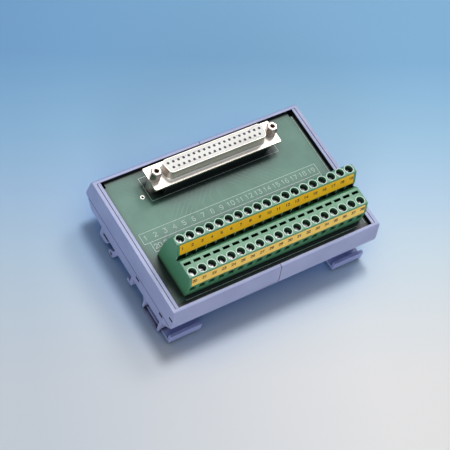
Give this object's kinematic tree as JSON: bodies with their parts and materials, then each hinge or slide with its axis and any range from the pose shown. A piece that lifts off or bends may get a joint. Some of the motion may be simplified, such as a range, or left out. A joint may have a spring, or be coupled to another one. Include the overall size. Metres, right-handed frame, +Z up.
{
  "type": "d-sub terminal block adapter",
  "caption": "Rail-mounted adapter board that joins a D-sub socket to two rows of screw terminals, in a plastic carrier with spring-loaded rail latches.",
  "frame": {"origin": "middle of the carrier, on the surface that its two feet stand on", "axes": "+X along the terminals, +Y from the terminals towards the D-sub socket, +Z up out of the board"},
  "size_m": [0.113, 0.0774, 0.0476],
  "materials": {
    "carrier_plastic": "satin moulded",
    "latch_plastic": "satin moulded",
    "spring_steel": "plain",
    "board_laminate": "solder mask",
    "terminal_plastic": "satin moulded",
    "marker_plastic": "satin",
    "shell_steel": "bright plated",
    "face_plastic": "moulded",
    "base_plastic": "moulded",
    "contact_brass": "plated",
    "screw_steel": "zinc plated",
    "cage_brass": "nickel plated",
    "pin_brass": "tinned"
  },
  "bodies": {
    "carrier": {"base_left": "carrier_plastic", "base_right": "carrier_plastic", "end_cap_left": "carrier_plastic", "end_cap_right": "carrier_plastic", "din_foot_left": "carrier_plastic", "din_foot_right": "carrier_plastic", "latch_spring_left": "spring_steel", "latch_spring_right": "spring_steel", "circuit_board": "board_laminate", "terminal_housing": "terminal_plastic", "marker_strip_upper": "marker_plastic", "marker_strip_lower": "marker_plastic", "dsub_shell": "shell_steel", "dsub_socket_insulator": "face_plastic", "dsub_base_insulator": "base_plastic", "dsub_contacts": "contact_brass", "dsub_spacers": "shell_steel", "jackscrews": "screw_steel", "clamp_cages": "cage_brass", "terminal_pins": "pin_brass"},
    "latch_left": {"din_latch_left": "latch_plastic"},
    "latch_right": {"din_latch_right": "latch_plastic"},
    "clamp_upper_01": {"screw_upper_01": "screw_steel"},
    "clamp_upper_02": {"screw_upper_02": "screw_steel"},
    "clamp_upper_03": {"screw_upper_03": "screw_steel"},
    "clamp_upper_04": {"screw_upper_04": "screw_steel"},
    "clamp_upper_05": {"screw_upper_05": "screw_steel"},
    "clamp_upper_06": {"screw_upper_06": "screw_steel"},
    "clamp_upper_07": {"screw_upper_07": "screw_steel"},
    "clamp_upper_08": {"screw_upper_08": "screw_steel"},
    "clamp_upper_09": {"screw_upper_09": "screw_steel"},
    "clamp_upper_10": {"screw_upper_10": "screw_steel"},
    "clamp_upper_11": {"screw_upper_11": "screw_steel"},
    "clamp_upper_12": {"screw_upper_12": "screw_steel"},
    "clamp_upper_13": {"screw_upper_13": "screw_steel"},
    "clamp_upper_14": {"screw_upper_14": "screw_steel"},
    "clamp_upper_15": {"screw_upper_15": "screw_steel"},
    "clamp_upper_16": {"screw_upper_16": "screw_steel"},
    "clamp_upper_17": {"screw_upper_17": "screw_steel"},
    "clamp_upper_18": {"screw_upper_18": "screw_steel"},
    "clamp_upper_19": {"screw_upper_19": "screw_steel"},
    "clamp_lower_01": {"screw_lower_01": "screw_steel"},
    "clamp_lower_02": {"screw_lower_02": "screw_steel"},
    "clamp_lower_03": {"screw_lower_03": "screw_steel"},
    "clamp_lower_04": {"screw_lower_04": "screw_steel"},
    "clamp_lower_05": {"screw_lower_05": "screw_steel"},
    "clamp_lower_06": {"screw_lower_06": "screw_steel"},
    "clamp_lower_07": {"screw_lower_07": "screw_steel"},
    "clamp_lower_08": {"screw_lower_08": "screw_steel"},
    "clamp_lower_09": {"screw_lower_09": "screw_steel"},
    "clamp_lower_10": {"screw_lower_10": "screw_steel"},
    "clamp_lower_11": {"screw_lower_11": "screw_steel"},
    "clamp_lower_12": {"screw_lower_12": "screw_steel"},
    "clamp_lower_13": {"screw_lower_13": "screw_steel"},
    "clamp_lower_14": {"screw_lower_14": "screw_steel"},
    "clamp_lower_15": {"screw_lower_15": "screw_steel"},
    "clamp_lower_16": {"screw_lower_16": "screw_steel"},
    "clamp_lower_17": {"screw_lower_17": "screw_steel"},
    "clamp_lower_18": {"screw_lower_18": "screw_steel"},
    "clamp_lower_19": {"screw_lower_19": "screw_steel"}
  },
  "joints": [
    {"name": "release_left", "type": "slide", "parent": "carrier", "child": "latch_left", "axis": [0, -1, 0], "range_m": [0, 0.0035], "stiffness_N_per_m": 400, "springref_m": -0.002, "deforming": ["latch_spring_left"]},
    {"name": "release_right", "type": "slide", "parent": "carrier", "child": "latch_right", "axis": [0, -1, 0], "range_m": [0, 0.0035], "stiffness_N_per_m": 400, "springref_m": -0.002, "deforming": ["latch_spring_right"]},
    {"name": "turn_upper_01", "type": "hinge", "parent": "carrier", "child": "clamp_upper_01", "pos_m": [-0.04452, -0.014, 0.0446], "axis": [0, 0, 1], "range_deg": [0, 1890]},
    {"name": "turn_upper_02", "type": "hinge", "parent": "carrier", "child": "clamp_upper_02", "pos_m": [-0.03944, -0.014, 0.0446], "axis": [0, 0, 1], "range_deg": [0, 1890]},
    {"name": "turn_upper_03", "type": "hinge", "parent": "carrier", "child": "clamp_upper_03", "pos_m": [-0.03436, -0.014, 0.0446], "axis": [0, 0, 1], "range_deg": [0, 1890]},
    {"name": "turn_upper_04", "type": "hinge", "parent": "carrier", "child": "clamp_upper_04", "pos_m": [-0.02928, -0.014, 0.0446], "axis": [0, 0, 1], "range_deg": [0, 1890]},
    {"name": "turn_upper_05", "type": "hinge", "parent": "carrier", "child": "clamp_upper_05", "pos_m": [-0.0242, -0.014, 0.0446], "axis": [0, 0, 1], "range_deg": [0, 1890]},
    {"name": "turn_upper_06", "type": "hinge", "parent": "carrier", "child": "clamp_upper_06", "pos_m": [-0.01912, -0.014, 0.0446], "axis": [0, 0, 1], "range_deg": [0, 1890]},
    {"name": "turn_upper_07", "type": "hinge", "parent": "carrier", "child": "clamp_upper_07", "pos_m": [-0.01404, -0.014, 0.0446], "axis": [0, 0, 1], "range_deg": [0, 1890]},
    {"name": "turn_upper_08", "type": "hinge", "parent": "carrier", "child": "clamp_upper_08", "pos_m": [-0.00896, -0.014, 0.0446], "axis": [0, 0, 1], "range_deg": [0, 1890]},
    {"name": "turn_upper_09", "type": "hinge", "parent": "carrier", "child": "clamp_upper_09", "pos_m": [-0.00388, -0.014, 0.0446], "axis": [0, 0, 1], "range_deg": [0, 1890]},
    {"name": "turn_upper_10", "type": "hinge", "parent": "carrier", "child": "clamp_upper_10", "pos_m": [0.0012, -0.014, 0.0446], "axis": [0, 0, 1], "range_deg": [0, 1890]},
    {"name": "turn_upper_11", "type": "hinge", "parent": "carrier", "child": "clamp_upper_11", "pos_m": [0.00628, -0.014, 0.0446], "axis": [0, 0, 1], "range_deg": [0, 1890]},
    {"name": "turn_upper_12", "type": "hinge", "parent": "carrier", "child": "clamp_upper_12", "pos_m": [0.01136, -0.014, 0.0446], "axis": [0, 0, 1], "range_deg": [0, 1890]},
    {"name": "turn_upper_13", "type": "hinge", "parent": "carrier", "child": "clamp_upper_13", "pos_m": [0.01644, -0.014, 0.0446], "axis": [0, 0, 1], "range_deg": [0, 1890]},
    {"name": "turn_upper_14", "type": "hinge", "parent": "carrier", "child": "clamp_upper_14", "pos_m": [0.02152, -0.014, 0.0446], "axis": [0, 0, 1], "range_deg": [0, 1890]},
    {"name": "turn_upper_15", "type": "hinge", "parent": "carrier", "child": "clamp_upper_15", "pos_m": [0.0266, -0.014, 0.0446], "axis": [0, 0, 1], "range_deg": [0, 1890]},
    {"name": "turn_upper_16", "type": "hinge", "parent": "carrier", "child": "clamp_upper_16", "pos_m": [0.03168, -0.014, 0.0446], "axis": [0, 0, 1], "range_deg": [0, 1890]},
    {"name": "turn_upper_17", "type": "hinge", "parent": "carrier", "child": "clamp_upper_17", "pos_m": [0.03676, -0.014, 0.0446], "axis": [0, 0, 1], "range_deg": [0, 1890]},
    {"name": "turn_upper_18", "type": "hinge", "parent": "carrier", "child": "clamp_upper_18", "pos_m": [0.04184, -0.014, 0.0446], "axis": [0, 0, 1], "range_deg": [0, 1890]},
    {"name": "turn_upper_19", "type": "hinge", "parent": "carrier", "child": "clamp_upper_19", "pos_m": [0.04692, -0.014, 0.0446], "axis": [0, 0, 1], "range_deg": [0, 1890]},
    {"name": "turn_lower_01", "type": "hinge", "parent": "carrier", "child": "clamp_lower_01", "pos_m": [-0.04452, -0.0274, 0.0374], "axis": [0, 0, 1], "range_deg": [0, 1890]},
    {"name": "turn_lower_02", "type": "hinge", "parent": "carrier", "child": "clamp_lower_02", "pos_m": [-0.03944, -0.0274, 0.0374], "axis": [0, 0, 1], "range_deg": [0, 1890]},
    {"name": "turn_lower_03", "type": "hinge", "parent": "carrier", "child": "clamp_lower_03", "pos_m": [-0.03436, -0.0274, 0.0374], "axis": [0, 0, 1], "range_deg": [0, 1890]},
    {"name": "turn_lower_04", "type": "hinge", "parent": "carrier", "child": "clamp_lower_04", "pos_m": [-0.02928, -0.0274, 0.0374], "axis": [0, 0, 1], "range_deg": [0, 1890]},
    {"name": "turn_lower_05", "type": "hinge", "parent": "carrier", "child": "clamp_lower_05", "pos_m": [-0.0242, -0.0274, 0.0374], "axis": [0, 0, 1], "range_deg": [0, 1890]},
    {"name": "turn_lower_06", "type": "hinge", "parent": "carrier", "child": "clamp_lower_06", "pos_m": [-0.01912, -0.0274, 0.0374], "axis": [0, 0, 1], "range_deg": [0, 1890]},
    {"name": "turn_lower_07", "type": "hinge", "parent": "carrier", "child": "clamp_lower_07", "pos_m": [-0.01404, -0.0274, 0.0374], "axis": [0, 0, 1], "range_deg": [0, 1890]},
    {"name": "turn_lower_08", "type": "hinge", "parent": "carrier", "child": "clamp_lower_08", "pos_m": [-0.00896, -0.0274, 0.0374], "axis": [0, 0, 1], "range_deg": [0, 1890]},
    {"name": "turn_lower_09", "type": "hinge", "parent": "carrier", "child": "clamp_lower_09", "pos_m": [-0.00388, -0.0274, 0.0374], "axis": [0, 0, 1], "range_deg": [0, 1890]},
    {"name": "turn_lower_10", "type": "hinge", "parent": "carrier", "child": "clamp_lower_10", "pos_m": [0.0012, -0.0274, 0.0374], "axis": [0, 0, 1], "range_deg": [0, 1890]},
    {"name": "turn_lower_11", "type": "hinge", "parent": "carrier", "child": "clamp_lower_11", "pos_m": [0.00628, -0.0274, 0.0374], "axis": [0, 0, 1], "range_deg": [0, 1890]},
    {"name": "turn_lower_12", "type": "hinge", "parent": "carrier", "child": "clamp_lower_12", "pos_m": [0.01136, -0.0274, 0.0374], "axis": [0, 0, 1], "range_deg": [0, 1890]},
    {"name": "turn_lower_13", "type": "hinge", "parent": "carrier", "child": "clamp_lower_13", "pos_m": [0.01644, -0.0274, 0.0374], "axis": [0, 0, 1], "range_deg": [0, 1890]},
    {"name": "turn_lower_14", "type": "hinge", "parent": "carrier", "child": "clamp_lower_14", "pos_m": [0.02152, -0.0274, 0.0374], "axis": [0, 0, 1], "range_deg": [0, 1890]},
    {"name": "turn_lower_15", "type": "hinge", "parent": "carrier", "child": "clamp_lower_15", "pos_m": [0.0266, -0.0274, 0.0374], "axis": [0, 0, 1], "range_deg": [0, 1890]},
    {"name": "turn_lower_16", "type": "hinge", "parent": "carrier", "child": "clamp_lower_16", "pos_m": [0.03168, -0.0274, 0.0374], "axis": [0, 0, 1], "range_deg": [0, 1890]},
    {"name": "turn_lower_17", "type": "hinge", "parent": "carrier", "child": "clamp_lower_17", "pos_m": [0.03676, -0.0274, 0.0374], "axis": [0, 0, 1], "range_deg": [0, 1890]},
    {"name": "turn_lower_18", "type": "hinge", "parent": "carrier", "child": "clamp_lower_18", "pos_m": [0.04184, -0.0274, 0.0374], "axis": [0, 0, 1], "range_deg": [0, 1890]},
    {"name": "turn_lower_19", "type": "hinge", "parent": "carrier", "child": "clamp_lower_19", "pos_m": [0.04692, -0.0274, 0.0374], "axis": [0, 0, 1], "range_deg": [0, 1890]}
  ]
}
